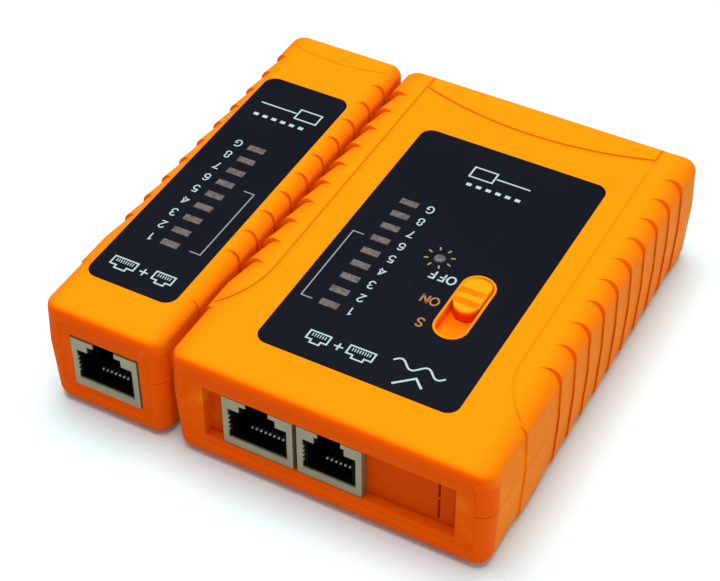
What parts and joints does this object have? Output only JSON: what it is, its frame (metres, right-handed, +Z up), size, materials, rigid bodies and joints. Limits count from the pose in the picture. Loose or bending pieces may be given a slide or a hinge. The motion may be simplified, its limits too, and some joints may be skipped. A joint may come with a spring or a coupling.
{
  "type": "network cable tester",
  "caption": "Hand-held network cable tester in two parts: a main unit with two sockets, lamps and a slide switch, and a remote unit that slides onto a rail on its side.",
  "frame": {"origin": "centre of the footprint of both units together, on the underside", "axes": "+Z up through the labels, -Y out of the socket faces, +X from the remote unit to the main unit"},
  "size_m": [0.1024, 0.106, 0.0283],
  "materials": {
    "battery_jacket": "printed steel jacket",
    "board_green": "solder mask",
    "case_orange": "smooth moulded orange plastic",
    "chip_black": "moulded epoxy",
    "component_grey": "ceramic",
    "component_tan": "ceramic",
    "connector_black": "soft vinyl",
    "contact_gold": "gold plated",
    "diode_glass": "glass bodied",
    "insert_black": "moulded",
    "knob_orange": "smooth moulded orange plastic",
    "label_black": "printed satin film",
    "lamp_lens": "cloudy epoxy",
    "lead_black": "insulated wire",
    "lead_red": "insulated wire",
    "plate_orange": "smooth moulded orange plastic",
    "power_lamp_lens": "cloudy epoxy",
    "screw_steel": "zinc plated",
    "shield_metal": "tinned sheet",
    "switch_black": "moulded",
    "terminal_metal": "plated"
  },
  "bodies": {
    "main_unit": {"battery": "battery_jacket", "battery_terminals": "terminal_metal", "capacitors": "component_tan", "clock_chip": "chip_black", "counter_chip": "chip_black", "lead_black": "lead_black", "lead_red": "lead_red", "main_board": "board_green", "main_board_screws": "screw_steel", "main_case_screws": "screw_steel", "main_label": "label_black", "main_lamp_1": "lamp_lens", "main_lamp_2": "lamp_lens", "main_lamp_3": "lamp_lens", "main_lamp_4": "lamp_lens", "main_lamp_5": "lamp_lens", "main_lamp_6": "lamp_lens", "main_lamp_7": "lamp_lens", "main_lamp_8": "lamp_lens", "main_lamp_9": "lamp_lens", "main_lower_shell": "case_orange", "main_upper_shell": "case_orange", "port_plate": "plate_orange", "power_lamp": "power_lamp_lens", "resistors": "component_grey", "snap_connector": "connector_black", "socket_6_contacts": "contact_gold", "socket_6_insert": "insert_black", "socket_6_shield": "shield_metal", "socket_8_contacts": "contact_gold", "socket_8_insert": "insert_black", "socket_8_shield": "shield_metal", "switch_housing": "switch_black"},
    "remote_unit": {"diodes": "diode_glass", "remote_board": "board_green", "remote_board_screws": "screw_steel", "remote_case_screws": "screw_steel", "remote_label": "label_black", "remote_lamp_1": "lamp_lens", "remote_lamp_2": "lamp_lens", "remote_lamp_3": "lamp_lens", "remote_lamp_4": "lamp_lens", "remote_lamp_5": "lamp_lens", "remote_lamp_6": "lamp_lens", "remote_lamp_7": "lamp_lens", "remote_lamp_8": "lamp_lens", "remote_lamp_9": "lamp_lens", "remote_lower_shell": "case_orange", "remote_socket_contacts": "contact_gold", "remote_socket_insert": "insert_black", "remote_socket_shield": "shield_metal", "remote_upper_shell": "case_orange"},
    "switch": {"switch_knob": "knob_orange", "switch_slider": "knob_orange"},
    "door": {"battery_door": "case_orange"}
  },
  "joints": [
    {"name": "remote_slide", "type": "slide", "parent": "main_unit", "child": "remote_unit", "axis": [0, -1, 0], "range_m": [0, 0.083]},
    {"name": "switch_slide", "type": "slide", "parent": "main_unit", "child": "switch", "axis": [0, -1, 0], "range_m": [0, 0.005]},
    {"name": "battery_door_slide", "type": "slide", "parent": "main_unit", "child": "door", "axis": [0, 1, 0], "range_m": [0, 0.057]}
  ]
}
